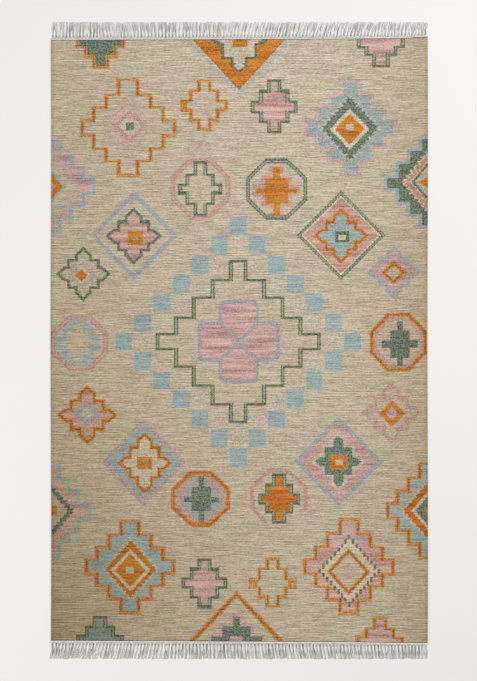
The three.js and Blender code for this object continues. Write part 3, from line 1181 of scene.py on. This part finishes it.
def tubes(paths, radius, reference, tone):
    """Tubes along many paths. A ring is the path's point plus radius times (a cos + b sin), where
    a is square to the path and to a reference direction, and b is square to both. Each point also
    gets its share of the way round, how far it lies along its path, and its tone."""
    count, steps_along = paths.shape[:2]
    tangent = np.gradient(paths, axis=1)
    tangent /= np.linalg.norm(tangent, axis=-1, keepdims=True)
    a = np.cross(tangent, reference)
    a /= np.linalg.norm(a, axis=-1, keepdims=True)
    b = np.cross(a, tangent)
    turn = np.arange(TUBE_SIDES) / TUBE_SIDES
    cos, sin = np.cos(2 * np.pi * turn), np.sin(2 * np.pi * turn)
    ring = a[..., None, :] * cos[:, None] + b[..., None, :] * sin[:, None]
    radius = np.broadcast_to(radius, (count, steps_along))[..., None, None]
    surface = paths[..., None, :] + radius * ring

    number = np.arange(surface[..., 0].size).reshape(count, steps_along, TUBE_SIDES)
    turned = np.roll(number, -1, axis=-1)
    walls = np.stack([number[:, :-1], turned[:, :-1], turned[:, 1:], number[:, 1:]], -1)
    caps = np.concatenate([number[:, 0, ::-1], number[:, -1]])
    strides = np.linalg.norm(np.diff(paths, axis=1), axis=-1)
    travelled = np.concatenate([np.zeros((count, 1)), strides.cumsum(axis=1)], axis=1)
    tone = np.broadcast_to(tone, (count, steps_along))
    return {
        "points": surface.reshape(-1, 3),
        "faces": walls.reshape(-1, 4).tolist() + caps.tolist(),
        "around": np.broadcast_to(turn, number.shape).ravel(),
        "travelled": np.broadcast_to(travelled[..., None], number.shape).ravel(),
        "tone": np.broadcast_to(tone[..., None], number.shape).ravel(),
    }


# %% [markdown]
# Each knot is about a turn and a half of cord round its bundle. Between the knots and the cloth lies
# the heading, two cords twined round each other all along the end, which keep the last courses
# of weft from sliding off the warps.

# %% The knots
KNOT_OUT = 5.5
KNOT_TURNS = 1.6
KNOT_STEPS = 18
KNOT_START_SPREAD = 0.8
KNOT_RISE = 2.1
KNOT_SIZE = (3.9, 1.7)
KNOT_RADIUS = 1.0


def knot_paths(end):
    """Helices round the bundles: x and z go round an ellipse while y moves outwards."""
    index = np.arange(BUNDLES)[:, None]
    root_x, root_y = (root[:, None] for root in bundle_roots(end))
    turn = np.linspace(0, KNOT_TURNS, KNOT_STEPS)
    angle = 2 * np.pi * turn + KNOT_START_SPREAD * unevenness(index, 5)
    x = root_x + KNOT_SIZE[0] * np.cos(angle)
    outward = KNOT_OUT + KNOT_RISE * (turn - KNOT_TURNS / 2) + unevenness(index, 9)
    z = CORD_RADIUS + KNOT_SIZE[1] * (1 + np.sin(angle))
    return np.stack([x, root_y + end * outward, z], -1)


# %% The heading
TWINE_RADIUS = 1.25
TWINE_PITCH = 9.0
TWINE_LIFT = 2.6
TWINE_STEPS = 1200


def twine_paths(end):
    """Two helices along the woven end, half a turn apart."""
    x = np.linspace(-HALF_WIDTH, HALF_WIDTH, TWINE_STEPS)
    angle = 2 * np.pi * x / TWINE_PITCH + np.array([[0], [np.pi]])
    y = end_line(x, end) + end * (PARTING + HEADING_DEPTH / 2 + TWINE_RADIUS * np.cos(angle))
    z = TWINE_LIFT + TWINE_RADIUS * np.sin(angle)
    return np.stack([np.broadcast_to(x, y.shape), y, z], -1)


# %% [markdown]
# The cotton of the fringe is undyed. Each cord has its own tone, which is painted shade where it
# lies under other cords and painted shadow near the knots. It is twisted from a few plies, which
# show as slanting lines with painted shade in the grooves between them.

# %% The cotton
PLIES = 2
TWISTS = 250.0
COTTON_DARK = linear(108, 104, 96)
COTTON_LIGHT = linear(255, 253, 247)
# painted shade in the grooves between the plies
PLY_GAP = linear(150, 145, 136)
PLY_SHADE = 0.15
PLY_HEIGHT = 0.0003
PLY_STRENGTH = 0.4

cotton = Shader("cotton_fringe")
lengthwise = cotton.add("ShaderNodeUVMap", uv_map="cord")
lengthwise = cotton.add("ShaderNodeSeparateXYZ", {0: lengthwise}, 0).node
tone = cotton.add("ShaderNodeAttribute", attribute_name="tone", output=2)
twist = cotton.sum("MULTIPLY", lengthwise.outputs[1], TWISTS)
twist = cotton.sum("ADD", lengthwise.outputs[0], twist)
ply = cotton.sum("SINE", cotton.sum("MULTIPLY", twist, 2 * np.pi * PLIES))
# the tone, mostly painted shade and shadow, chooses between dark and light cotton
colour = cotton.mix(tone, COTTON_DARK, COTTON_LIGHT)
colour = cotton.mix(cotton.spread(ply, -1.0, 1.0, 0.0, PLY_SHADE), colour, PLY_GAP)
cotton.join(colour, cotton.surface.inputs["Base Color"])
cotton.surface.inputs["Roughness"].default_value = 0.9
cotton.surface.inputs["Specular IOR Level"].default_value = 0.2
bump = cotton.add(
    "ShaderNodeBump", {"Strength": PLY_STRENGTH, "Distance": PLY_HEIGHT, "Height": ply}
)
cotton.join(bump, cotton.surface.inputs["Normal"])
print("cotton nodes", len(cotton.tree.nodes))


# %% The two fringes
KNOT_TONE = 0.95
KNOT_SPREAD = 0.3
TWINE_TONE = 1.0


def make_fringe(name, end):
    """One object of all cords, knots and twine of one end."""
    paths, thickness, tones = cord_paths(end)
    knot_tones = KNOT_TONE + KNOT_SPREAD * unevenness(np.arange(BUNDLES), 11 + end)
    sets = [
        tubes(paths, thickness, UPWARDS, tones),
        tubes(knot_paths(end), KNOT_RADIUS, LENGTHWISE, knot_tones[:, None]),
        tubes(twine_paths(end), TWINE_RADIUS, UPWARDS, TWINE_TONE),
    ]
    starts = np.cumsum([0] + [len(part["points"]) for part in sets])
    faces = [
        [point + start for point in face]
        for part, start in zip(sets, starts)
        for face in part["faces"]
    ]
    columns = ("points", "around", "travelled", "tone")
    points, around, travelled, tone = (
        np.concatenate([part[column] for part in sets]) for column in columns
    )
    piece = make_piece(name, in_metres(*points.T), faces)
    set_uv(piece, "cord", around, travelled * MM)
    layer = piece.data.attributes.new("tone", "FLOAT", "POINT")
    layer.data.foreach_set("value", tone.astype(np.float32))
    piece.data.materials.append(cotton.material)
    print(name, "faces", len(piece.data.polygons))
    return piece


fringe_far = make_fringe("far_fringe_cords", 1)
fringe_near = make_fringe("near_fringe_cords", -1)

# %% [markdown]
# Every new piece has to move with the part, and the solid it stands for is hidden. The rug has no
# joints, so all pieces ride on its one body.

# %% Fasten the pieces to the frame
for piece, node, finish in [
    (cloth, "rug_body", "wool_flatweave"),
    (fringe_far, "fringe_far", "cotton_fringe"),
    (fringe_near, "fringe_near", "cotton_fringe"),
]:
    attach(piece, "root")
    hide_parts(node)

# %% [markdown]
# The floor is plain and pale. The light is soft and comes from two large panels, the stronger
# one from the right and the far end, so the cloth is a little darker at the left and near side,
# and the cords of the fringe throw short shadows on each other.

# %% The floor
HALF_FLOOR = 7
FLOOR_DROP = 0.0004
FLOOR_COLOUR = linear(240, 236, 233)
corners = [(-1, -1), (1, -1), (1, 1), (-1, 1)]
floor = make_piece(
    "floor", [(x * HALF_FLOOR, y * HALF_FLOOR, -FLOOR_DROP) for x, y in corners], [(0, 1, 2, 3)]
)
paper = Shader("pale_floor")
paper.surface.inputs["Base Color"].default_value = FLOOR_COLOUR
paper.surface.inputs["Roughness"].default_value = 0.9
floor.data.materials.append(paper.material)
print("floor", 2 * HALF_FLOOR, "m wide")


# %% The lights
def panel(name, place, size, power):
    """A square panel of light that faces the middle of the rug."""
    lamp = bpy.data.objects.new(name, bpy.data.lights.new(name, "AREA"))
    lamp.data.energy = power
    lamp.data.size = size
    lamp.location = place
    towards = -np.array(place)
    lamp.rotation_euler[0] = np.arctan2(np.hypot(*towards[:2]), -towards[2])
    lamp.rotation_euler[2] = np.arctan2(towards[1], towards[0]) - np.pi / 2
    bpy.context.scene.collection.objects.link(lamp)
    print(name, "of", power, "W")


panel("main_panel", place=(4.2, 3.0, 5.0), size=3.5, power=272)
panel("filling_panel", place=(-4.2, -2.0, 5.2), size=4.0, power=222)

# %% The light of the room
ROOM_COLOUR = linear(250, 250, 252)
ROOM_STRENGTH = 0.38

world = bpy.data.worlds.new("soft_room")
world.use_nodes = True
background = world.node_tree.nodes["Background"]
background.inputs["Color"].default_value = ROOM_COLOUR
background.inputs["Strength"].default_value = ROOM_STRENGTH
bpy.context.scene.world = world
bpy.context.scene.view_settings.view_transform = "Standard"
